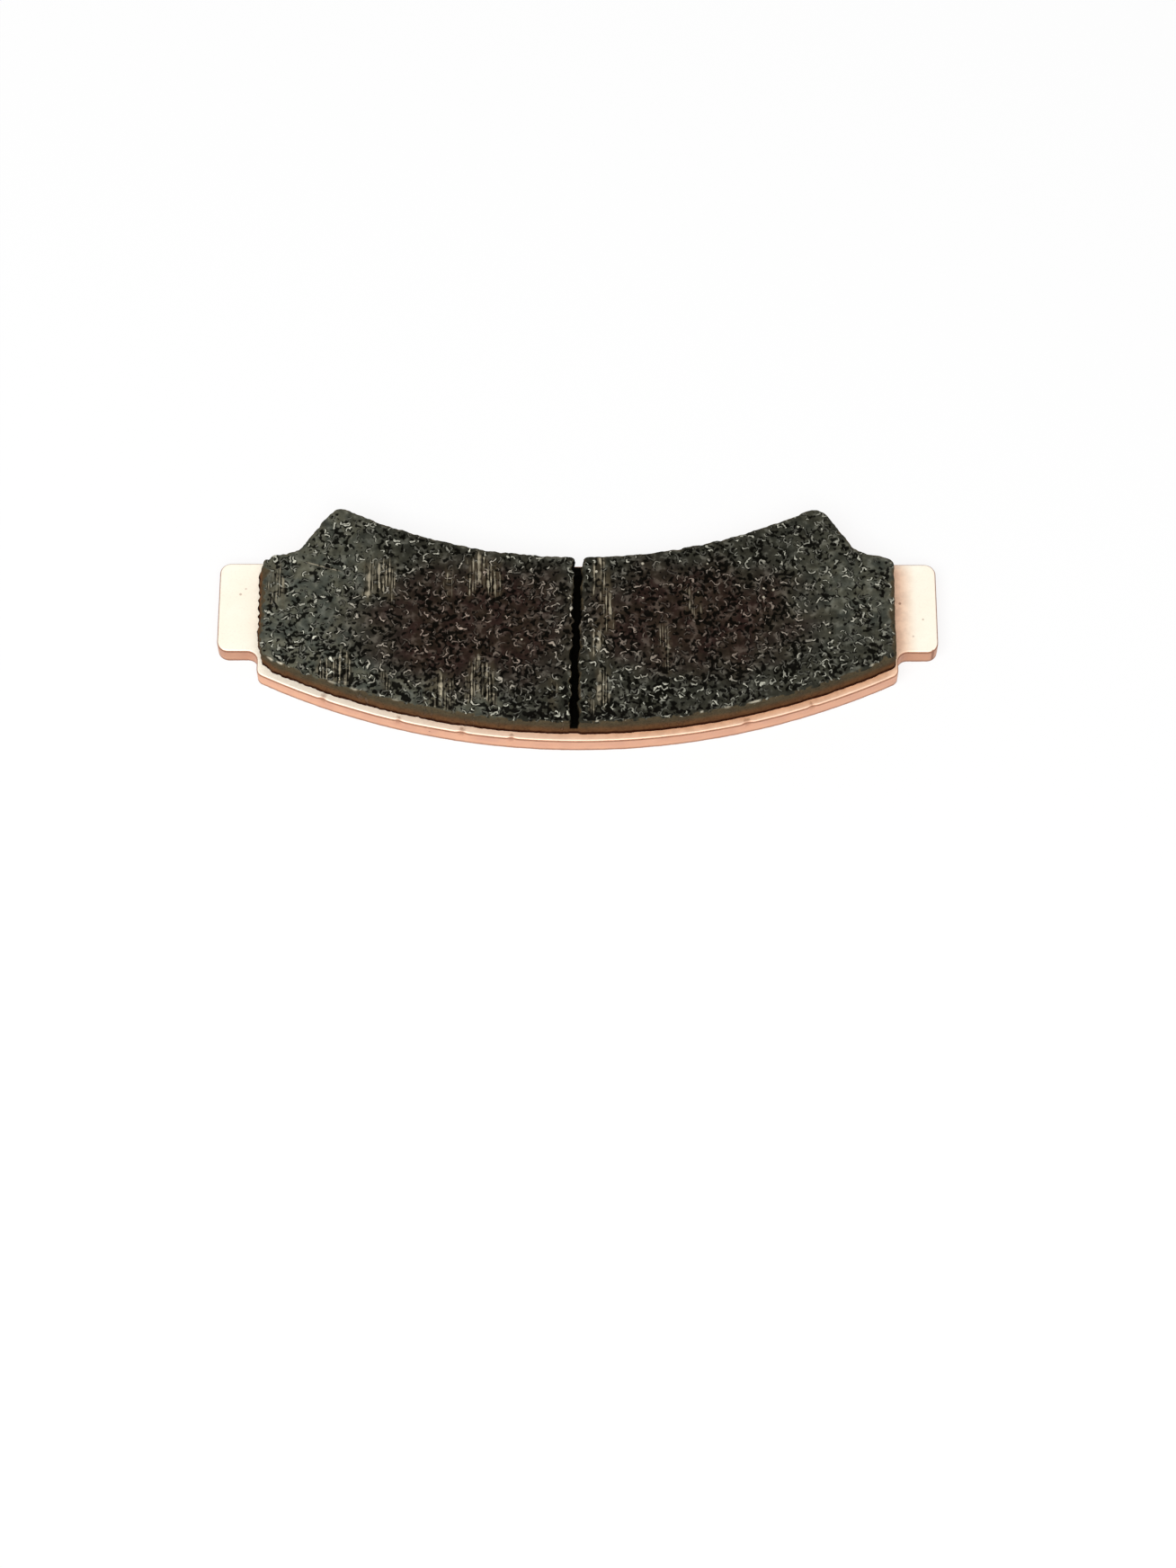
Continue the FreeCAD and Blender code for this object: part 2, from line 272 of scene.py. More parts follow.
def lowest_outline(node_name):
    """The points round a node's lowest face, counter-clockwise from above."""
    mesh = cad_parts[node_name].data
    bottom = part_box(node_name)[0].z
    sides = {}
    for polygon in mesh.polygons:
        corners = [mesh.vertices[index].co for index in polygon.vertices]
        if all(corner.z - bottom < SNAP for corner in corners):
            keys = [(round(corner.x / SNAP), round(corner.y / SNAP)) for corner in corners]
            for here, there in zip(keys, keys[1:] + keys[:1]):
                sides[(here, there)] = True
    following = {here: there for here, there in sides if (there, here) not in sides}
    start = min(following)
    loop = [start]
    while following[loop[-1]] != start:
        loop.append(following[loop[-1]])
    return [Vector((x * SNAP, y * SNAP)) for x, y in reversed(loop)]


def resample(points, pitch):
    """Points about one pitch apart along an open line, ends included."""
    lengths = [(there - here).length for here, there in zip(points, points[1:])]
    count = max(1, round(sum(lengths) / pitch))
    step = sum(lengths) / count
    spaced = [points[0].copy()]
    walked = 0.0
    for here, there, span in zip(points, points[1:], lengths):
        while len(spaced) < count and step * len(spaced) <= walked + span:
            spaced.append(here.lerp(there, (step * len(spaced) - walked) / span))
        walked += span
    return spaced + [points[-1].copy()]


def closed_outline(node_name, pitch):
    """Points about one pitch apart round a node's lowest face."""
    outline = lowest_outline(node_name)
    return resample(outline + outline[:1], pitch)[:-1]


def outward(before, after):
    """The outward normal between two points of a counter-clockwise outline."""
    along = (after - before).normalized()
    return Vector((along.y, -along.x))


def outward_normals(loop):
    """The outward normal at each point of a closed outline."""
    return [outward(loop[i - 1], loop[(i + 1) % len(loop)]) for i in range(len(loop))]


def rounded_edge(radius, top, steps):
    """Insets and heights of points round a quarter circle, from a wall up to the face above it."""
    turns = [0.5 * math.pi * step / steps for step in range(1, steps + 1)]
    return [(radius * (1.0 - math.cos(turn)), top - radius * (1.0 - math.sin(turn))) for turn in turns]


def point_tree(points):
    """Flat points, ready to be asked which of them is nearest to a place."""
    tree = kdtree.KDTree(len(points))
    for index, point in enumerate(points):
        tree.insert(point.to_3d(), index)
    tree.balance()
    return tree


# Meshes


class Shell:
    """Points, faces and painted values of a mesh in the making."""

    def __init__(self, *layers):
        self.points = []
        self.faces = []
        self.values = {layer: [] for layer in layers}

    def add(self, point, **values):
        """Adds a point with its painted values and gives its number."""
        self.points.append(point)
        for layer, painted in self.values.items():
            painted.append(values.get(layer, 0.0))
        return len(self.points) - 1

    def wall(self, columns, start=0):
        """Joins neighbouring columns of point numbers, each listed upwards, into a wall of quads."""
        for left, right in zip(columns, columns[1:]):
            for low in range(start, len(left) - 1):
                self.faces.append((left[low], right[low], right[low + 1], left[low + 1]))

    def cap(self, ring, inner, downwards=False):
        """Fills a counter-clockwise ring of point numbers with triangles that use the inner points too."""
        numbers = ring + inner
        flat = [self.points[number].xy for number in numbers]
        edge_shade_and_knocks = list(range(len(ring)))
        _, _, triangles, origins, _, insides = delaunay_2d_cdt(flat, [], [edge_shade_and_knocks], WHOLE_HULL, SNAP / 10, True)
        for triangle, inside in zip(triangles, insides):
            if inside:
                corners = [numbers[origins[corner][0]] for corner in triangle]
                self.faces.append(tuple(reversed(corners)) if downwards else tuple(corners))

    def make_object(self, name, material):
        """The finished mesh as an object of the scene."""
        used = sorted({number for face in self.faces for number in face})
        place = {number: index for index, number in enumerate(used)}
        mesh = bpy.data.meshes.new(name)
        faces = [[place[number] for number in face] for face in self.faces]
        mesh.from_pydata([self.points[number] for number in used], [], faces)
        for layer, painted in self.values.items():
            attribute = mesh.attributes.new(layer, "FLOAT", "POINT")
            attribute.data.foreach_set("value", [painted[number] for number in used])
        mesh.materials.append(material)
        mesh.shade_smooth()
        mesh.update()
        return new_object(name, mesh)


def new_object(name, data):
    """A new object of the scene."""
    made = bpy.data.objects.new(name, data)
    bpy.context.scene.collection.objects.link(made)
    return made


def scattered(ring, pitch, draws):
    """Points on a shaken triangular grid over a ring's box, clear of the ring itself."""
    tree = point_tree(ring)
    low = Vector((min(p.x for p in ring), min(p.y for p in ring)))
    high = Vector((max(p.x for p in ring), max(p.y for p in ring)))
    row_step = pitch * math.sqrt(3.0) / 2.0
    shake = 0.25 * pitch
    clearance = 0.6 * pitch
    found = []
    for row in range(int((high.y - low.y) / row_step)):
        start = low.x + pitch * (0.5 if row % 2 else 1.0)
        for column in range(int((high.x - low.x) / pitch)):
            x = start + column * pitch + draws.uniform(-shake, shake)
            y = low.y + (row + 1) * row_step + draws.uniform(-shake, shake)
            if tree.find(Vector((x, y, 0.0)))[2] > clearance:
                found.append(Vector((x, y)))
    return found


# Lining


def slot_shape():
    """The height of the slot's floor, half the slot's width and its far end, from the lining's solid."""
    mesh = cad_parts["friction_lining"].data
    heights = sorted({round(vertex.co.z / SNAP) for vertex in mesh.vertices})
    floor = heights[1] * SNAP
    on_floor = [vertex.co for vertex in mesh.vertices if abs(vertex.co.z - floor) < SNAP]
    return floor, max(abs(point.x) for point in on_floor), max(point.y for point in on_floor)


SLOT_FLOOR, SLOT_HALF_WIDTH, SLOT_FAR = slot_shape()


def broken_out(y):
    """How far the slot is broken out at a given y: 0 over most of its length and 1 at its far end."""
    start, full = BREAKOUT_REACH
    return smoothstep(SLOT_FAR - start * MM, SLOT_FAR - full * MM, y)


def slot_wall(y, side, settings):
    """The x of a slot wall at a given y: side is -1 for the left wall and 1 for the right one."""
    lean = settings.slot_drift * (smoothstep(LINING_LOW.y, LINING_HIGH.y, y) - 0.58)
    point = Vector((0.0, y, 0.0))
    ragged = wander(point, 0.9 * MM, 3 + side) + 0.6 * wander(point, 0.35 * MM, 6 + side)
    half_width = SLOT_HALF_WIDTH + settings.breakout_width * broken_out(y)
    return lean + side * half_width + settings.slot_raggedness * ragged


def bend(start, corner, end):
    """Three points of a rounded corner."""
    return [start.lerp(corner, part).lerp(corner.lerp(end, part), part) for part in (0.25, 0.5, 0.75)]


def block_outline(outline, side, settings):
    """One block's outline, counter-clockwise: its run along the lining's edge, a rounded corner, its slot
    wall and a second rounded corner. Gives the number of points in the run too."""
    ease = settings.slot_corner
    outside = [side * (p.x - slot_wall(p.y, side, settings)) > ease for p in outline]
    first = next(i for i in range(len(outline)) if outside[i] and not outside[i - 1])
    turned = outline[first:] + outline[:first]
    count = sum(outside)
    run = resample(turned[:count], settings.pitch)
    start, end = run[-1].y, run[0].y
    inward = math.copysign(ease, end - start)
    steps = round(abs(end - start) / settings.pitch)
    heights = [start + inward + (end - start - 2.0 * inward) * step / steps for step in range(steps + 1)]
    wall = [Vector((slot_wall(y, side, settings), y)) for y in heights]
    corners = [Vector((slot_wall(y, side, settings), y)) for y in (start, end)]
    loop = run + bend(run[-1], corners[0], wall[0]) + wall + bend(wall[-1], corners[1], run[0])
    return loop, len(run)


def browned(point):
    """How brown the rubbing face is at a point, from 0 to 1."""
    most = 0.0
    for x, y, half_length, half_width in BROWN_PATCHES:
        reach = math.hypot((point.x / MM - x) / half_length, (point.y / MM - y) / half_width)
        most = max(most, 1.0 - smoothstep(0.45, 1.25, reach + 0.3 * wander(point, 3.0 * MM, 1)))
    return most


def dusky(point):
    """How dark the grey of the rubbing face is at a point: from 0 at the ends to 1 towards the middle."""
    x, y = point.x / MM, point.y / MM
    pale = smoothstep(16.0, 27.0, abs(x) + 4.0 * wander(point, 5.0 * MM, 15))
    pale *= 1.0 - 0.42 * smoothstep(0.0, 10.0, x) - 0.3 * smoothstep(2.0, 6.0, y)
    pale *= 1.0 - 0.7 * near_edge(point) * smoothstep(-16.0, 2.0, x)
    near_left = 0.95 - 0.2 * smoothstep(-22.0, -16.0, x) - 0.75 * smoothstep(-9.0, -5.0, x)
    return 1.0 - max(pale, near_left * near_edge(point))


def near_edge(point):
    """How close a point is to the lining's outer edge: 1 along it and 0 a few millimetres away."""
    return smoothstep(*NEAR_EDGE_RADIUS, (point.xy - ROTOR_AXIS).length / MM)


def flecked(point):
    """How near a point is to a bare fleck on the upper edge, from 0 to 1."""
    off_edge = ((point.xy - ROTOR_AXIS).length / MM - FLECK_RADIUS) / FLECK_HALF_WIDTH
    on_edge = smoothstep(LINING_HIGH.z - 0.4 * MM, LINING_HIGH.z - 0.2 * MM, point.z)
    most = 0.0
    for x, half_length, strength in EDGE_FLECKS:
        gap = math.hypot((point.x / MM - x) / half_length, off_edge)
        most = max(most, strength * on_edge * (1.0 - smoothstep(0.5, 1.1, gap)))
    return most


def scratched(point):
    """How thickly the grinding scratches lie at a point, with 0 for none. Each stroke ends at its own y."""
    x = point.x / MM + 0.4 * wander(point, 1.3 * MM, 17)
    y = point.y / MM + 1.5 * wander(Vector((point.x, 0.0, 0.0)), 0.45 * MM, 16)
    most = 0.0
    for left, right, near, far, strength in SCRATCHED_BANDS:
        across = smoothstep(left - 0.4, left + 0.2, x) - smoothstep(right - 0.2, right + 0.4, x)
        along = smoothstep(near - 0.8, near + 0.8, y) - smoothstep(far - 0.8, far + 0.8, y)
        most = max(most, strength * across * along)
    return most


def pore(point, settings):
    """How deep in a pore of the rubbing face a point lies, from 0 to 1."""
    lumps = wander(point, settings.pore_size, 2) + 0.4 * wander(point, 0.5 * settings.pore_size, 4)
    crumbly = near_edge(point) * (1.0 - 0.6 * smoothstep(6.0, 13.0, point.x / MM))
    open_here = 0.5 * wander(point, 1.6 * MM, 5) + 0.1 * dusky(point) + 0.24 * crumbly
    open_here -= 0.1 * scratched(point)
    return smoothstep(0.22, 0.5, lumps + open_here)


def zones(point):
    """The values that are painted on the rubbing face and on the walls alike."""
    return {"brown": browned(point), "dusk": dusky(point), "fleck": flecked(point)}


def top_point(point, settings):
    """A point of the rubbing face with its relief, and the values painted there."""
    depth = pore(point, settings)
    grains = 0.5 + 0.5 * wander(point, 0.45 * MM, 8)
    wash = 0.5 + 0.5 * wander(point, 2.6 * MM, 9)
    drop = settings.pore_depth * (depth + 0.45 * grains + 0.12 * wash)
    painted = {"pore": depth, "scratch": scratched(point), "near": near_edge(point), **zones(point)}
    return Vector((point.x, point.y, point.z - drop)), painted


def wall_roughness(point):
    """How crumbly the side wall is: rougher at the left end and the far edge, smoother to the near right."""
    x, y = point.x / MM, point.y / MM
    calm = 0.5 * smoothstep(-28.0, -25.0, x) + 0.7 * smoothstep(-24.0, 6.0, x)
    return 1.9 - calm * (1.0 - 0.4 * smoothstep(1.0, 4.0, y))


def end_forms(place, normal, settings):
    """What is special about the wall at the lining's ends: how far it spreads towards the plate, how far it
    is set back from its outline and how many times larger the radius of its upper edge is."""
    x, y = place.x / MM, place.y / MM
    at_shoulder = smoothstep(*SHOULDER_X, abs(x)) * smoothstep(*SHOULDER_Y, y)
    at_left_end = 1.0 - smoothstep(*LEFT_END_X, x)
    at_near_corner = at_left_end * (1.0 - smoothstep(*NEAR_CORNER_Y, y))
    flare = settings.flare * at_left_end * smoothstep(*FLARE_Y, y)
    ripple = settings.serration * (at_left_end - at_near_corner) * math.sin(math.tau * y / RIPPLE_PITCH)
    set_back = settings.corner_inset * at_near_corner + ripple
    set_back -= settings.shoulder * at_shoulder * max(normal.y, 0.0)
    blunt = 1.0 + 1.3 * smoothstep(*BLUNT_END_X, x) * (1.0 - at_shoulder)
    return flare, set_back, blunt * (1.0 - 0.7 * at_near_corner)


def add_lining_column(shell, corner, normal, settings):
    """A column of points up the lining's wall and over its crumbled edge, ending on the rubbing face."""
    base, top = LINING_LOW.z, LINING_HIGH.z
    place = corner.to_3d()
    rough = wall_roughness(place)
    chip = smoothstep(0.25, 0.7, wander(place, 1.1 * MM, 11))
    radius = settings.edge_break * (1.0 + 0.5 * wander(place, 0.5 * MM, 12) + 1.1 * chip * rough)
    flare, set_back, blunt = end_forms(place, normal, settings)
    radius *= blunt
    floor = SLOT_FLOOR
    toe = lean = lumpy = 0.0
    if abs(place.x) < SLOT_REACH * MM:
        lumpy = 2.5 * normal.x * normal.x
        radius = min(radius, 0.7 * settings.slot_corner)
        floor -= settings.breakout_depth * broken_out(place.y)
        toe = settings.slot_toe * abs(normal.x) * normal.x
        lean = settings.slot_lean * normal.x * normal.x if normal.x < 0.0 else 0.0
    straight = top - radius - floor
    heights = [base + (floor - base) * step / FOOT_STEPS for step in range(FOOT_STEPS)]
    heights += [floor + straight * step / WALL_STEPS for step in range(WALL_STEPS + 1)]
    spots = [(0.0, height, 1.0) for height in heights]
    for step, (inset, height) in enumerate(rounded_edge(radius, top, ARC_STEPS), 1):
        spots.append((inset, height, 1.0 - step / ARC_STEPS))
    numbers = []
    for inset, height, skin in spots:
        seen = Vector((place.x, place.y, 0.6 * height))
        bulge = wander(seen, 0.8 * MM, 13) + 0.7 * wander(seen, 0.36 * MM, 14)
        foot = 0.06 * MM * (1.0 - smoothstep(base + 0.05 * MM, base + 0.3 * MM, height))
        spread = flare * ((top - height) / (top - base) - 0.5)
        crumble = settings.crumble * (rough + lumpy * smoothstep(floor, floor + 0.8 * MM, height))
        shift = crumble * bulge - inset + foot + spread - set_back
        point = Vector((*(corner + normal * shift), height))
        point.x += toe * (1.0 - smoothstep(floor, floor + 0.5 * MM, height))
        point.x -= lean * (1.0 - smoothstep(floor + 0.2 * MM, top, height))
        values = {"skin": skin, "edge": smoothstep(top - 2.0 * radius, top - 0.3 * radius, height)}
        if skin == 0.0:
            point, painted = top_point(point, settings)
            values.update(painted)
            values["pore"] = 0.0
        else:
            values.update(zones(point))
        numbers.append(shell.add(point, **values))
    return numbers


def build_lining(settings):
    """The lining: two crumbly blocks on one base, and a slot between them that stops short of the plate."""
    draws = random.Random(settings.seed)
    shell = Shell("skin", "edge", "slot", "pore", "brown", "dusk", "scratch", "near", "fleck")
    fine = closed_outline("friction_lining", 0.5 * settings.pitch)
    edges, slot_walls = [], []
    for side in (1, -1):
        loop, count = block_outline(fine, side, settings)
        columns = [add_lining_column(shell, p, n, settings) for p, n in zip(loop, outward_normals(loop))]
        outer = columns[-2:] + columns[: count + 2]
        inner = columns[count + 1 : -1]
        # The slot's walls and floor are painted dark, which is painted shade; the upper part of its right
        # wall catches light, so it is painted less dark there, as painted light.
        lit = 0.8 if side > 0 else 0.0
        for number in (number for column in inner[1:-1] for number in column[:-2]):
            high = smoothstep(LINING_HIGH.z - 0.8 * MM, LINING_HIGH.z, shell.points[number].z)
            shell.values["slot"][number] = 1.0 - lit * high
        shell.wall(outer)
        shell.wall(inner, start=FOOT_STEPS)
        ring = [column[-1] for column in columns]
        spots = []
        for spot in scattered([shell.points[number].xy for number in ring], settings.pitch, draws):
            point, painted = top_point(Vector((spot.x, spot.y, LINING_HIGH.z)), settings)
            spots.append(shell.add(point, **painted))
        shell.cap(ring, spots)
        edges.append(outer)
        slot_walls.append(inner)
    right, left = edges
    for face in ((left[-1], right[0]), (right[-1], left[0])):
        shell.wall([column[: FOOT_STEPS + 1] for column in face])
    slot_floor = [column[FOOT_STEPS] for wall in slot_walls for column in reversed(wall)]
    shell.cap(slot_floor, [])
    shell.cap([column[0] for column in right + left], [], downwards=True)
    return shell


# Plate


def plate_wall_shift(place, height, top, settings):
    """How far the blanked edge stands out from its outline, smooth above its tear line and rough below, and
    how torn and how knocked it is there."""
    tear = top * (0.42 + 0.08 * wander(place, 4.0 * MM, 21))
    torn = 1.0 - smoothstep(tear - 0.1 * MM, tear + 0.1 * MM, height)
    seen = Vector((place.x, place.y, height))
    lumps = wander(seen, 0.5 * MM, 22) + 0.6 * wander(seen, 0.25 * MM, 23)
    shift = settings.shear_roughness * (torn * lumps + 0.5 * wander(place, 2.4 * MM, 24))
    knocked = 0.0
    if place.y < OUTER_EDGE_Y * MM:
        for knock in EDGE_KNOCKS:
            near = 1.0 - smoothstep(0.1, 0.55, abs(place.x / MM - knock) + 0.2 * wander(seen, 0.4 * MM, 25))
            knocked = max(knocked, near * smoothstep(0.35 * top, 0.85 * top, height))
    return shift - settings.knock_depth * knocked, torn, knocked


def plate_profile(top, settings):
    """Insets and heights of the points up the plate's side, from its back to its front."""
    roll, burr = settings.roll_radius, settings.back_break
    spots = [(burr * 2.0, 0.0), (burr, 0.0), (0.4 * burr, 0.25 * burr), (0.1 * burr, 0.7 * burr)]
    low = burr * 1.2
    spots += [(0.0, low + (top - roll - low) * step / SIDE_STEPS) for step in range(SIDE_STEPS + 1)]
    return spots + rounded_edge(roll, top, ROLL_STEPS) + [(roll + 0.05 * MM, top), (roll + 0.15 * MM, top)]


def build_plate(settings):
    """The plate: a blanked steel sheet with a rolled front edge, a sheared side and slightly wavy faces."""
    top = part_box("backing_plate")[1].z
    draws = random.Random(settings.seed)
    shell = Shell("side", "torn", "edge", "foot")
    loop = closed_outline("backing_plate", settings.pitch * 0.6)
    spots = plate_profile(top, settings)
    roll, burr = settings.roll_radius, settings.back_break
    lining_tree = point_tree(closed_outline("friction_lining", 0.2 * MM))

    def painted(point, side, torn, edge):
        """The values painted at a point. The foot is what lies close to the lining, except on the back."""
        gap = lining_tree.find(Vector((point.x, point.y, 0.0)))[2]
        # Past the lining's right end the foot reaches further over the ear, for a rosier tint there that is
        # painted shade of the lining.
        reach = 1.3 * MM + 1.3 * MM * smoothstep(30.0, 31.0, point.x / MM)
        foot = (1.0 - smoothstep(0.2 * MM, reach, gap)) * smoothstep(0.0, 0.3 * MM, point.z)
        return {"side": side, "torn": torn, "edge": edge, "foot": foot}

    columns = []
    for corner, normal in zip(loop, outward_normals(loop)):
        column = []
        near = smoothstep(0.3, 0.9, -normal.y)
        for inset, height in spots:
            shift, torn, knocked = plate_wall_shift(corner.to_3d(), height, top, settings)
            point = Vector((*(corner + normal * (shift - inset)), height))
            under = (top - height) / roll
            # The edge value paints a dark line low on the rolled edge, which is painted shade and reflection,
            # a dark band at the back edge, which is painted shadow where the plate meets the floor, and the
            # dark of the knocks.
            edge = smoothstep(0.05 + 0.15 * near, 0.2 + 0.25 * near, under)
            edge -= smoothstep(0.6 + 0.4 * near, 1.2 + near, under)
            back = smoothstep(0.5 * burr, 2.0 * burr, inset) if height == 0.0 else 0.0
            edge = max(edge, 1.0 - smoothstep(0.15 * MM, 0.45 * MM, height) - back, 0.7 * knocked**3)
            # The side colour also creeps up the rolled edge: partly the sheared finish, partly painted shade
            # that dims the edge's highlight.
            side = smoothstep(0.0, 0.4, under) - back
            column.append(shell.add(point, **painted(point, side, torn, edge)))
        columns.append(column)
    shell.wall(columns + columns[:1])
    for end, height, lift in ((-1, top, 1.0), (0, 0.0, -1.0)):
        ring = [column[end] for column in columns]
        inner = []
        for spot in scattered([shell.points[number].xy for number in ring], settings.pitch, draws):
            dip = settings.waviness * (0.5 + 0.5 * wander(spot.to_3d(), 5.0 * MM, 26))
            point = Vector((spot.x, spot.y, height - lift * dip))
            inner.append(shell.add(point, **painted(point, 0.0, 0.0, 0.0)))
        shell.cap(ring, inner, downwards=lift < 0.0)
    return shell


# Node trees


class Sheet:
    """Adds nodes to one node tree and joins their sockets."""

    def __init__(self, tree):
        self.tree = tree

    def add(self, kind, sockets=None, **settings):
        """A new node with its settings, and its inputs fed by values or by other nodes' outputs."""
        node = self.tree.nodes.new(kind)
        for name, value in settings.items():
            setattr(node, name, value)
        for socket, value in (sockets or {}).items():
            self.feed(node.inputs[socket], value)
        return node

    def feed(self, socket, value):
        """Links an output to an input, or sets the input's own value."""
        if isinstance(value, bpy.types.NodeSocket):
            self.tree.links.new(value, socket)
        else:
            socket.default_value = value

    def math(self, operation, first, second=0.0):
        """The result of one Math node."""
        return self.add("ShaderNodeMath", {0: first, 1: second}, operation=operation).outputs[0]

    def times(self, *factors):
        """The product of some values."""
        return reduce(lambda first, second: self.math("MULTIPLY", first, second), factors)

    def plus(self, *values):
        """The sum of some values."""
        return reduce(lambda first, second: self.math("ADD", first, second), values)

    def most(self, *values):
        """The largest of some values."""
        return reduce(lambda first, second: self.math("MAXIMUM", first, second), values)

    def vectors(self, operation, first, second):
        """The outputs of one Vector Math node."""
        return self.add("ShaderNodeVectorMath", {0: first, 1: second}, operation=operation).outputs

    def axes(self, vector):
        """A vector's X, Y and Z."""
        return self.add("ShaderNodeSeparateXYZ", {0: vector}).outputs

    def rise(self, value, low, high, start=0.0, end=1.0):
        """A smooth step from start to end as value goes from low to high."""
        sockets = {"Value": value, "From Min": low, "From Max": high, "To Min": start, "To Max": end}
        return self.add("ShaderNodeMapRange", sockets, interpolation_type="SMOOTHSTEP").outputs["Result"]

    def mix(self, factor, first, second):
        """Two colours mixed by a factor."""
        node = self.add("ShaderNodeMix", {"Factor": factor}, data_type="RGBA")
        for number, value in ((MIX_FIRST, first), (MIX_SECOND, second)):
            opaque = value if isinstance(value, bpy.types.NodeSocket) else (*value, 1.0)
            self.feed(node.inputs[number], opaque)
        return node.outputs[MIX_RESULT]

    def painted(self, layer):
        """A value painted on the mesh."""
        return self.add("ShaderNodeAttribute", attribute_name=layer).outputs["Fac"]

    def millimetres(self):
        """The object's own coordinates in millimetres."""
        place = self.add("ShaderNodeTexCoord").outputs["Object"]
        return self.vectors("DIVIDE", place, (MM, MM, MM))["Vector"]

    def lumps(self, position, size, detail=2.0, roughness=0.5):
        """Noise whose lumps are about size wide, in the units of position."""
        if isinstance(size, bpy.types.NodeSocket):
            scale = self.math("DIVIDE", 1.0, size)
        else:
            scale = 1.0 / size
        sockets = {"Vector": position, "Scale": scale, "Detail": detail, "Roughness": roughness}
        return self.add("ShaderNodeTexNoise", sockets).outputs["Fac"]

    def hooks(self, position, spacing, width, plenty):
        """Short hooked strands, at most one to a cell: each is part of a circle with its own size and turn.
        Gives the strands, some bright and some dull, and the shade beside them."""
        sockets = {"Vector": position, "Scale": 1.0 / spacing}
        cells = self.add("ShaderNodeTexVoronoi", sockets, voronoi_dimensions="2D").outputs
        draw = self.add("ShaderNodeSeparateColor", {"Color": cells["Color"]}).outputs
        axes = self.axes(self.vectors("SUBTRACT", position, cells["Position"])["Vector"])
        turn = self.math("DIVIDE", self.math("ARCTAN2", axes["Y"], axes["X"]), math.tau)
        turn = self.math("FRACT", self.plus(turn, draw["Red"]))
        off = self.math("ABSOLUTE", self.math("SUBTRACT", turn, 0.5))
        span = self.rise(draw["Green"], 0.0, 1.0, 0.26, 0.13)
        along = self.rise(off, self.times(span, 0.7), span, 1.0, 0.0)
        radius = self.rise(draw["Green"], 0.0, 1.0, 0.18, 0.48)
        gap = self.math("ABSOLUTE", self.math("SUBTRACT", cells["Distance"], radius))
        drawn = self.times(self.math("LESS_THAN", draw["Blue"], plenty), along)
        half = 0.5 * width / spacing
        shine = self.math("FRACT", self.times(draw["Green"], 9.7))
        strand = self.times(self.rise(gap, 0.5 * half, 1.3 * half, 1.0, 0.0), drawn)
        strand = self.times(strand, self.rise(shine, 0.25, 1.05, 0.18, 1.0))
        shade = self.times(self.rise(gap, 1.4 * half, 3.6 * half, 1.0, 0.0), drawn)
        return strand, shade

    def stroke(self, position, start, end, width):
        """A straight scratch from start to end, seen from above, that fades out at both ends."""
        run = Vector(end) - Vector(start)
        forward = run.normalized()
        from_start = self.vectors("SUBTRACT", position, (*start, 0.0))["Vector"]
        along = self.vectors("DOT_PRODUCT", from_start, (forward.x, forward.y, 0.0))["Value"]
        beside = self.vectors("DOT_PRODUCT", from_start, (-forward.y, forward.x, 0.0))["Value"]
        starting = self.rise(along, 0.0, 0.8)
        ending = self.rise(along, run.length - 1.2, run.length, 1.0, 0.0)
        line = self.rise(self.math("ABSOLUTE", beside), 0.2 * width, 0.7 * width, 1.0, 0.0)
        return self.times(line, starting, ending)

    def place(self, group, **sockets):
        """The outputs of a shared effect, placed with its own values."""
        return self.add("ShaderNodeGroup", node_tree=group, sockets=sockets).outputs


def new_group(name, outputs, **inputs):
    """An empty shader node group for a position and named values, with its sheet, inputs and outputs."""
    tree = bpy.data.node_groups.new(name, "ShaderNodeTree")
    tree.interface.new_socket(name="Position", in_out="INPUT", socket_type="NodeSocketVector")
    for label, default in inputs.items():
        socket = tree.interface.new_socket(name=label, in_out="INPUT", socket_type="NodeSocketFloat")
        socket.default_value = default
    for label in outputs:
        tree.interface.new_socket(name=label, in_out="OUTPUT", socket_type="NodeSocketFloat")
    sheet = Sheet(tree)
    return tree, sheet, sheet.add("NodeGroupInput").outputs, sheet.add("NodeGroupOutput").inputs


def make_blotches(name):
    """Soft patches of tone."""
    tree, sheet, given, out = new_group(name, ["Amount"], Size=3.0, Sharpness=0.5)
    tone = sheet.lumps(given["Position"], given["Size"], 3.0, 0.6)
    half = sheet.math("SUBTRACT", 0.26, sheet.times(given["Sharpness"], 0.24))
    low, high = sheet.math("SUBTRACT", 0.5, half), sheet.plus(0.5, half)
    sheet.feed(out["Amount"], sheet.rise(tone, low, high))
    return tree


def make_specks(name):
    """Small round specks scattered at random, of which only a share shows."""
    tree, sheet, given, out = new_group(name, ["Amount"], Spacing=1.0, Share=0.2, Radius=0.25)
    scale = sheet.math("DIVIDE", 1.0, given["Spacing"])
    cells = sheet.add("ShaderNodeTexVoronoi", {"Vector": given["Position"], "Scale": scale}).outputs
    draw = sheet.add("ShaderNodeSeparateColor", {"Color": cells["Color"]}).outputs
    reach = sheet.times(given["Radius"], sheet.rise(draw["Green"], 0.0, 1.0, 0.4, 1.0))
    inner = sheet.times(reach, 0.5)
    dot = sheet.rise(cells["Distance"], inner, reach, 1.0, 0.0)
    chosen = sheet.math("LESS_THAN", draw["Red"], given["Share"])
    sheet.feed(out["Amount"], sheet.times(dot, chosen))
    return tree


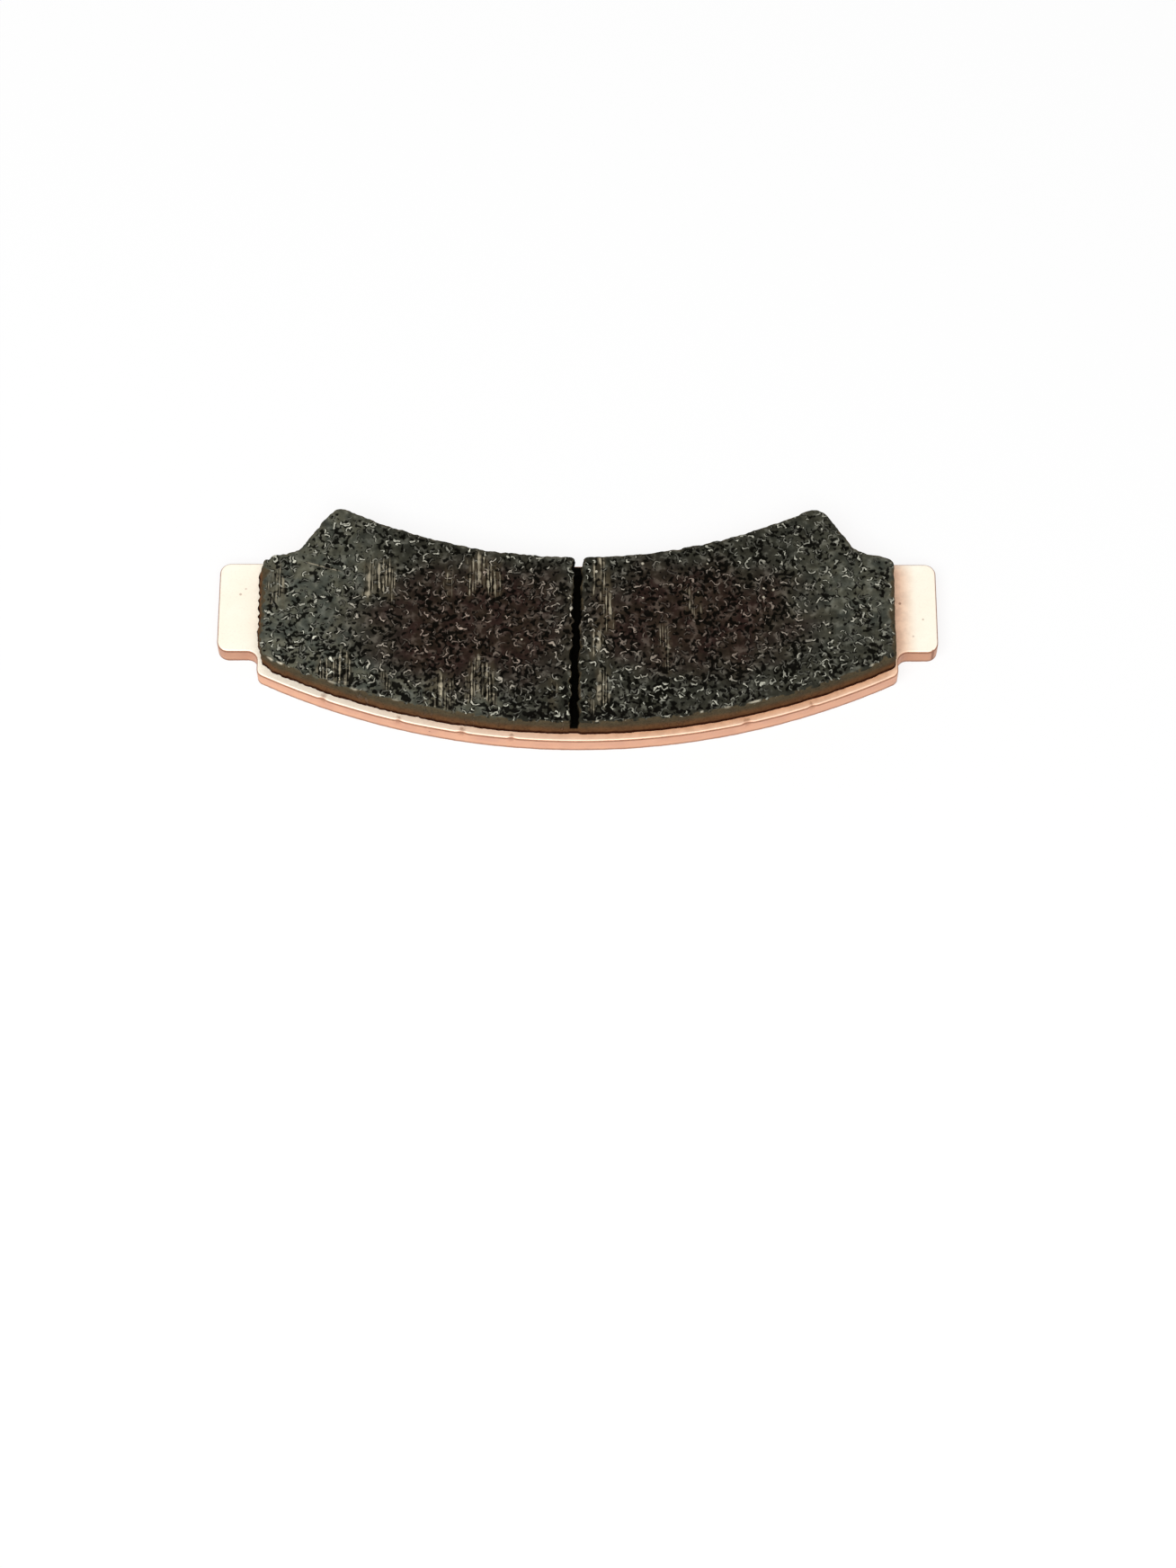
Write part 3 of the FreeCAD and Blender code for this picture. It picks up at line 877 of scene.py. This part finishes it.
def make_scratches(name):
    """Straight scratches along y of uneven width and brightness, and the dark gaps beside them."""
    tree, sheet, given, out = new_group(name, ["Amount", "Gap"], Width=0.3, Length=3.0, Share=0.3)
    axes = sheet.axes(given["Position"])
    sideways = sheet.add("ShaderNodeCombineXYZ", {0: axes["X"]}).outputs[0]
    uneven = sheet.lumps(sideways, sheet.times(given["Width"], 3.0), 1.0)
    uneven = sheet.plus(sheet.times(uneven, 3.5), sheet.lumps(given["Position"], 4.0, 1.0))
    across = sheet.plus(sheet.math("DIVIDE", axes["X"], given["Width"]), uneven)
    column = sheet.times(sheet.math("FLOOR", across), LAYER_STEP.x)
    along = sheet.math("DIVIDE", axes["Y"], given["Length"])
    drawn = sheet.add("ShaderNodeCombineXYZ", {0: column, 1: along}).outputs[0]
    tone = sheet.lumps(drawn, 1.0, 2.0, 0.5)
    limit = sheet.rise(given["Share"], 0.0, 1.0, 0.75, 0.35)
    present = sheet.rise(tone, limit, sheet.plus(limit, 0.22))
    swelling = sheet.lumps(drawn, 0.3, 1.0)
    half = sheet.rise(swelling, 0.3, 0.7, 0.1, 0.4)
    off_middle = sheet.math("ABSOLUTE", sheet.math("SUBTRACT", sheet.math("FRACT", across), 0.5))
    stroke = sheet.rise(off_middle, sheet.times(half, 0.4), half, 1.0, 0.0)
    sheet.feed(out["Amount"], sheet.times(present, stroke))
    beside = sheet.rise(off_middle, half, sheet.plus(half, 0.12))
    sheet.feed(out["Gap"], sheet.times(present, beside))
    return tree


def make_edge_wear(name):
    """Broken wear along an edge that is painted on the mesh."""
    tree, sheet, given, out = new_group(name, ["Amount"], Edge=0.0, Grain=0.5, Share=0.5)
    tone = sheet.lumps(given["Position"], given["Grain"], 3.0, 0.6)
    limit = sheet.rise(given["Share"], 0.0, 1.0, 0.75, 0.3)
    worn = sheet.rise(tone, limit, sheet.plus(limit, 0.12))
    sheet.feed(out["Amount"], sheet.times(worn, given["Edge"]))
    return tree


def shared_effects():
    """The groups for blotches, specks, scratches and edge wear, made when they are first asked for."""
    makers = {
        "Blotches": make_blotches,
        "Specks": make_specks,
        "Scratches": make_scratches,
        "Edge wear": make_edge_wear,
    }
    return [bpy.data.node_groups.get(name) or make(name) for name, make in makers.items()]


# Materials


def new_material(name):
    """A material with its sheet and its shader."""
    material = bpy.data.materials.new(name)
    material.use_nodes = True
    return material, Sheet(material.node_tree), material.node_tree.nodes["Principled BSDF"]


def sintered_material(settings):
    """Sintered metal: a dark porous matrix with bright strands, grinding scratches and bare flecks."""
    material, sheet, shader = new_material("sintered_lining_finish")
    position = sheet.millimetres()
    blotches, specks, scratches, edge_wear = shared_effects()

    brown, dusk = sheet.painted("brown"), sheet.painted("dusk")
    skin, edge = sheet.painted("skin"), sheet.painted("edge")
    pores, slot = sheet.painted("pore"), sheet.painted("slot")

    patch = sheet.place(blotches, Position=position, Size=1.7, Sharpness=0.4)["Amount"]
    grey = sheet.mix(sheet.times(patch, 0.8), settings.ash_colour, settings.slate_colour)
    grey = sheet.mix(sheet.times(dusk, 0.85), grey, settings.dusk_colour)
    warm = sheet.mix(patch, settings.brown_colour, settings.maroon_colour)
    matrix = sheet.mix(brown, grey, warm)
    strand_tone = sheet.mix(brown, settings.strand_colour, settings.bronze_colour)
    mottle = sheet.lumps(position, 0.9, 2.0, 0.5)
    matrix = sheet.mix(sheet.rise(mottle, 0.34, 0.5, 0.4, 0.0), matrix, settings.pore_and_shade_colour)
    matrix = sheet.mix(sheet.rise(mottle, 0.5, 0.7, 0.0, 0.14), matrix, strand_tone)
    tone = sheet.lumps(position, 0.24, 2.0, 0.6)
    scratch = sheet.painted("scratch")
    matrix = sheet.mix(sheet.times(scratch, 0.4), matrix, settings.olive_colour)

    sway = sheet.add("ShaderNodeTexNoise", {"Vector": position, "Scale": 1.6, "Detail": 1.0}).outputs["Color"]
    bent = sheet.vectors("MULTIPLY", sway, (0.7, 0.7, 0.7))["Vector"]
    bent = sheet.vectors("ADD", bent, position)["Vector"]
    cluster = sheet.rise(sheet.lumps(position, 2.2, 2.0, 0.6), 0.36, 0.62, 0.72, 1.05)
    plenty = sheet.times(cluster, sheet.rise(sheet.painted("near"), 0.0, 1.0, 0.56, 0.64))
    strands, shade = sheet.hooks(bent, 1.3, 0.16, plenty)
    for spacing, width in ((1.0, 0.14), (0.78, 0.13)):
        more, more_shade = sheet.hooks(bent, spacing, width, plenty)
        strands = sheet.most(strands, more)
        shade = sheet.most(shade, more_shade)
    strands = sheet.times(strands, sheet.rise(brown, 0.0, 1.0, 1.0, 0.75))
    axes = sheet.axes(position)
    strands = sheet.times(strands, sheet.rise(axes["X"], 2.0, 13.0, 1.0, 0.85))

    grinding = sheet.rise(scratch, 0.0, 1.0, 0.32, 0.85)
    ground = sheet.place(scratches, Position=position, Width=0.34, Length=2.8, Share=grinding)
    ground_off = sheet.times(ground["Gap"], sheet.rise(scratch, 0.0, 1.0, 0.1, 0.9))
    ground = sheet.times(ground["Amount"], sheet.rise(scratch, 0.0, 1.0, 0.16, 0.95))
    slanting = sheet.stroke(position, *SLANTING_SCRATCH, SLANTING_WIDTH)
    ground = sheet.most(ground, sheet.times(slanting, 0.7))
    ground = sheet.times(ground, sheet.rise(pores, 0.1, 0.6, 1.0, 0.35))
    wear = sheet.place(edge_wear, Position=position, Edge=edge, Grain=0.6, Share=0.28)["Amount"]
    flecks = sheet.place(specks, Position=position, Spacing=0.9, Share=0.06, Radius=0.2)["Amount"]
    wear = sheet.most(wear, sheet.painted("fleck"))

    face = sheet.mix(sheet.times(shade, 0.9), matrix, settings.pore_and_shade_colour)
    face = sheet.mix(sheet.rise(pores, 0.1, 0.7, 0.0, 0.95), face, settings.pore_and_shade_colour)
    face = sheet.mix(strands, face, strand_tone)
    face = sheet.mix(ground_off, face, settings.pore_and_shade_colour)
    face = sheet.mix(ground, face, settings.scratch_colour)
    face = sheet.mix(sheet.times(flecks, 0.6), face, settings.fleck_colour)

    height = axes["Z"]
    base, top = LINING_LOW.z / MM, LINING_HIGH.z / MM
    streaks = sheet.place(blotches, Position=position, Size=1.2, Sharpness=0.3)["Amount"]
    # The wall is brown towards the plate and olive higher up: partly the pressed skin's own colours, partly
    # painted reflection of the copper on the brown lower part.
    side = sheet.mix(sheet.rise(height, base + 0.7, top - 0.6), settings.side_colour, settings.olive_colour)
    side = sheet.mix(sheet.times(streaks, 0.3), side, settings.brown_colour)
    side = sheet.mix(sheet.rise(tone, 0.36, 0.5, 0.25, 0.0), side, settings.pore_and_shade_colour)
    # A dark line at the foot of the wall: partly painted shade in the joint with the plate, partly a dark
    # burnt colour.
    side = sheet.mix(sheet.rise(height, base + 0.2, base + 0.55, 1.0, 0.0), side, settings.foot_colour)

    depth = sheet.math("SUBTRACT", sheet.rise(mottle, 0.3, 0.7, top - 0.2, top + 0.3), height)
    skinned = sheet.times(sheet.rise(skin, 0.0, 0.4), sheet.rise(depth, 0.02, 0.2))
    body = sheet.mix(skinned, face, side)
    body = sheet.mix(sheet.times(wear, 0.8), body, settings.fleck_colour)
    # Painted shade: the inside of the slot is painted dark, and below it has no metal reflection.
    body = sheet.mix(slot, body, settings.pore_and_shade_colour)
    sheet.feed(shader.inputs["Base Color"], body)

    metal = sheet.times(sheet.most(strands, ground, wear), sheet.math("SUBTRACT", 1.0, slot))
    sheet.feed(shader.inputs["Metallic"], sheet.times(metal, 0.5))
    sheet.feed(shader.inputs["Roughness"], sheet.rise(metal, 0.0, 1.0, 0.85, 0.45))
    shader.inputs["Specular IOR Level"].default_value = 0.02

    parts = ((tone, 0.3), (strands, 0.6), (mottle, 0.8), (ground, 0.3))
    relief = sheet.plus(*(sheet.times(form, level) for form, level in parts))
    bump = sheet.add("ShaderNodeBump", {"Strength": 1.0, "Distance": 0.14 * MM, "Height": relief})
    sheet.feed(shader.inputs["Normal"], bump.outputs["Normal"])
    return material


def copper_material(settings):
    """Copper plating on blanked steel: pale on the flat faces, rosier and darker on the sheared side, partly
    its own finish and partly painted shade.
    """
    material, sheet, shader = new_material("copper_plating")
    position = sheet.millimetres()
    blotches, specks, scratches, edge_wear = shared_effects()

    side, torn = sheet.painted("side"), sheet.painted("torn")
    edge, foot = sheet.painted("edge"), sheet.painted("foot")

    along = sheet.axes(position)["X"]
    blush = sheet.place(blotches, Position=position, Size=3.0, Sharpness=0.1)["Amount"]
    # Rosier near the lining: a tint of the plating, and on the right ear partly painted shade of the lining.
    to_right = sheet.rise(along, -31.0, 10.0, 0.05, 1.0)
    past_lining = sheet.rise(along, 29.5, 31.0, 1.0, 0.75)
    warm = sheet.most(sheet.times(foot, to_right, past_lining), sheet.times(blush, 0.1))
    face = sheet.mix(warm, settings.face_colour, settings.blush_and_shade_colour)

    patch = sheet.place(blotches, Position=position, Size=1.6, Sharpness=0.2)["Amount"]
    flank = sheet.mix(sheet.times(patch, 0.45), settings.side_colour, settings.blush_and_shade_colour)
    flank = sheet.mix(sheet.times(torn, 0.2), flank, settings.blush_and_shade_colour)
    ears = sheet.rise(sheet.math("ABSOLUTE", along), 30.6, 31.6, 0.0, 0.34)
    flank = sheet.mix(ears, flank, settings.mark_and_shade_colour)
    # The flank is darker than the face partly as painted shade.
    plating = sheet.mix(side, face, flank)

    grain = sheet.lumps(position, 0.2, 3.0, 0.6)
    plating = sheet.mix(sheet.rise(grain, 0.3, 0.5, 0.06, 0.0), plating, settings.mark_and_shade_colour)
    dots = sheet.place(specks, Position=position, Spacing=1.6, Share=0.16, Radius=0.08)["Amount"]
    # Broken dark patches along the edge value, which holds the painted shade lines and the knocks.
    knocks = sheet.place(edge_wear, Position=position, Edge=edge, Grain=0.9, Share=0.22)["Amount"]
    lines = sheet.place(scratches, Position=position, Width=0.12, Length=5.0, Share=0.2)["Amount"]
    # Along the edge value: painted shade on the rolled edge and at the bottom, and the knocks' own dark.
    edge_shade_and_knocks = sheet.times(edge, sheet.rise(grain, 0.3, 0.6, 0.95, 0.75))
    stains = sheet.place(blotches, Position=position, Size=0.8, Sharpness=0.5)["Amount"]
    stains = sheet.times(stains, foot, sheet.rise(along, -12.0, 12.0, 0.06, 0.22))
    weak = [sheet.times(mark, strength) for mark, strength in ((dots, 0.7), (knocks, 0.6), (lines, 0.1))]
    marks_and_shade = sheet.most(*weak, edge_shade_and_knocks, stains)
    flat = sheet.vectors("MULTIPLY", position, (1.0, 1.0, 0.0))["Vector"]
    for x, y, radius, strength in EAR_MARKS:
        gap = sheet.vectors("DISTANCE", flat, (x, y, 0.0))["Value"]
        marks_and_shade = sheet.most(marks_and_shade, sheet.rise(gap, 0.4 * radius, radius, strength, 0.0))
    sheet.feed(shader.inputs["Base Color"], sheet.mix(marks_and_shade, plating, settings.mark_and_shade_colour))

    shader.inputs["Metallic"].default_value = 0.3
    sheet.feed(shader.inputs["Roughness"], sheet.rise(grain, 0.25, 0.75, 0.4, 0.56))
    bump = sheet.add("ShaderNodeBump", {"Strength": 0.35, "Distance": 0.02 * MM, "Height": grain})
    sheet.feed(shader.inputs["Normal"], bump.outputs["Normal"])
    return material


def seen_directly(sheet):
    """1 for what the camera sees straight, in a reflection or through glass, and 0 for what only lights."""
    rays = sheet.add("ShaderNodeLightPath").outputs
    return sheet.most(rays["Is Camera Ray"], rays["Is Glossy Ray"], rays["Is Transmission Ray"])


def paper_material(settings):
    """White paper that keeps the pad's shadow."""
    material, sheet, shader = new_material("paper_floor")
    shader.inputs["Base Color"].default_value = (*settings.floor_colour, 1.0)
    shader.inputs["Roughness"].default_value = 0.9
    shader.inputs["Specular IOR Level"].default_value = 0.0
    glow = sheet.add("ShaderNodeEmission", {"Color": (1.0, 1.0, 1.0, 1.0), "Strength": 1.0}).outputs[0]
    factor = sheet.times(seen_directly(sheet), settings.floor_glow)
    mixed = sheet.add("ShaderNodeMixShader", {0: factor, 1: shader.outputs[0], 2: glow}).outputs[0]
    sheet.feed(material.node_tree.nodes["Material Output"].inputs["Surface"], mixed)
    return material


# Operators


class BRAKEPAD_OT_backing_plate(bpy.types.Operator):
    """Builds the copper-plated backing plate over its solid"""

    bl_idname = "brake_pad.backing_plate"
    bl_label = "Backing plate"

    def execute(self, context):
        settings = context.scene.brake_pad_plate
        plate = build_plate(settings).make_object("copper_backing_plate", copper_material(settings))
        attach(plate, "root")
        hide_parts("backing_plate")
        return {"FINISHED"}


class BRAKEPAD_OT_friction_lining(bpy.types.Operator):
    """Builds the sintered lining over its solid"""

    bl_idname = "brake_pad.friction_lining"
    bl_label = "Friction lining"

    def execute(self, context):
        settings = context.scene.brake_pad_lining
        lining = build_lining(settings).make_object("sintered_friction_lining", sintered_material(settings))
        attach(lining, "root")
        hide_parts("friction_lining")
        return {"FINISHED"}


class BRAKEPAD_OT_stage(bpy.types.Operator):
    """Sets up the paper floor, the light and the camera"""

    bl_idname = "brake_pad.stage"
    bl_label = "Studio stage"

    def execute(self, context):
        settings = context.scene.brake_pad_stage
        add_floor(settings)
        add_light(settings)
        add_camera()
        context.scene.view_settings.view_transform = "Standard"
        return {"FINISHED"}


def add_floor(settings):
    """A flat paper floor under the pad."""
    half = 0.5 * settings.floor_size
    mesh = bpy.data.meshes.new("floor")
    corners = [(-half, -half, 0.0), (half, -half, 0.0), (half, half, 0.0), (-half, half, 0.0)]
    mesh.from_pydata(corners, [], [(0, 1, 2, 3)])
    mesh.materials.append(paper_material(settings))
    floor = new_object("floor", mesh)


def add_light(settings):
    """A white surround and one large soft box above the pad, to the left."""
    world = bpy.data.worlds.new("studio")
    world.use_nodes = True
    sheet = Sheet(world.node_tree)
    background = world.node_tree.nodes["Background"]
    background.inputs["Color"].default_value = (1.0, 1.0, 1.0, 1.0)
    level = sheet.rise(seen_directly(sheet), 0.0, 1.0, settings.ambient, 1.0)
    sheet.feed(background.inputs["Strength"], level)
    bpy.context.scene.world = world

    lamp = bpy.data.lights.new("soft_box", "AREA")
    lamp.shape = "RECTANGLE"
    lamp.size, lamp.size_y = SOFT_BOX_SIDES
    lamp.energy = settings.key_power
    box = new_object("soft_box", lamp)
    box.location = SOFT_BOX_PLACE
    box.rotation_euler = (-SOFT_BOX_PLACE).to_track_quat("-Z", "Y").to_euler()


def add_camera():
    """The camera where the photograph was taken from."""
    lens = bpy.data.cameras.new("camera")
    lens.sensor_width = SENSOR_WIDTH
    lens.lens = SENSOR_WIDTH * FOCAL_PIXELS / IMAGE_HEIGHT
    lens.clip_start = CLIP_START
    camera = new_object("camera", lens)
    camera.location = CAMERA_PLACE
    camera.rotation_euler = (CAMERA_TILT, 0.0, CAMERA_TURN)
    bpy.context.scene.camera = camera


class VIEW3D_PT_brake_pad(bpy.types.Panel):
    """Lists the pad's operators with their sizes and colours"""

    bl_label = "Brake pad"
    bl_idname = "VIEW3D_PT_brake_pad"
    bl_space_type = "VIEW_3D"
    bl_region_type = "UI"
    bl_category = "Brake pad"

    def draw(self, context):
        for operator, settings in (
            (BRAKEPAD_OT_backing_plate, context.scene.brake_pad_plate),
            (BRAKEPAD_OT_friction_lining, context.scene.brake_pad_lining),
            (BRAKEPAD_OT_stage, context.scene.brake_pad_stage),
        ):
            box = self.layout.box()
            box.operator(operator.bl_idname)
            for name in settings.__annotations__:
                box.prop(settings, name)


CLASSES = (
    PlateSettings,
    LiningSettings,
    StageSettings,
    BRAKEPAD_OT_backing_plate,
    BRAKEPAD_OT_friction_lining,
    BRAKEPAD_OT_stage,
    VIEW3D_PT_brake_pad,
)


def register():
    for made in CLASSES:
        bpy.utils.register_class(made)
    bpy.types.Scene.brake_pad_plate = PointerProperty(type=PlateSettings)
    bpy.types.Scene.brake_pad_lining = PointerProperty(type=LiningSettings)
    bpy.types.Scene.brake_pad_stage = PointerProperty(type=StageSettings)


def unregister():
    del bpy.types.Scene.brake_pad_stage
    del bpy.types.Scene.brake_pad_lining
    del bpy.types.Scene.brake_pad_plate
    for made in reversed(CLASSES):
        bpy.utils.unregister_class(made)


def main():
    register()
    bpy.ops.brake_pad.backing_plate()
    bpy.ops.brake_pad.friction_lining()
    bpy.ops.brake_pad.stage()


if __name__ == "__main__":
    main()
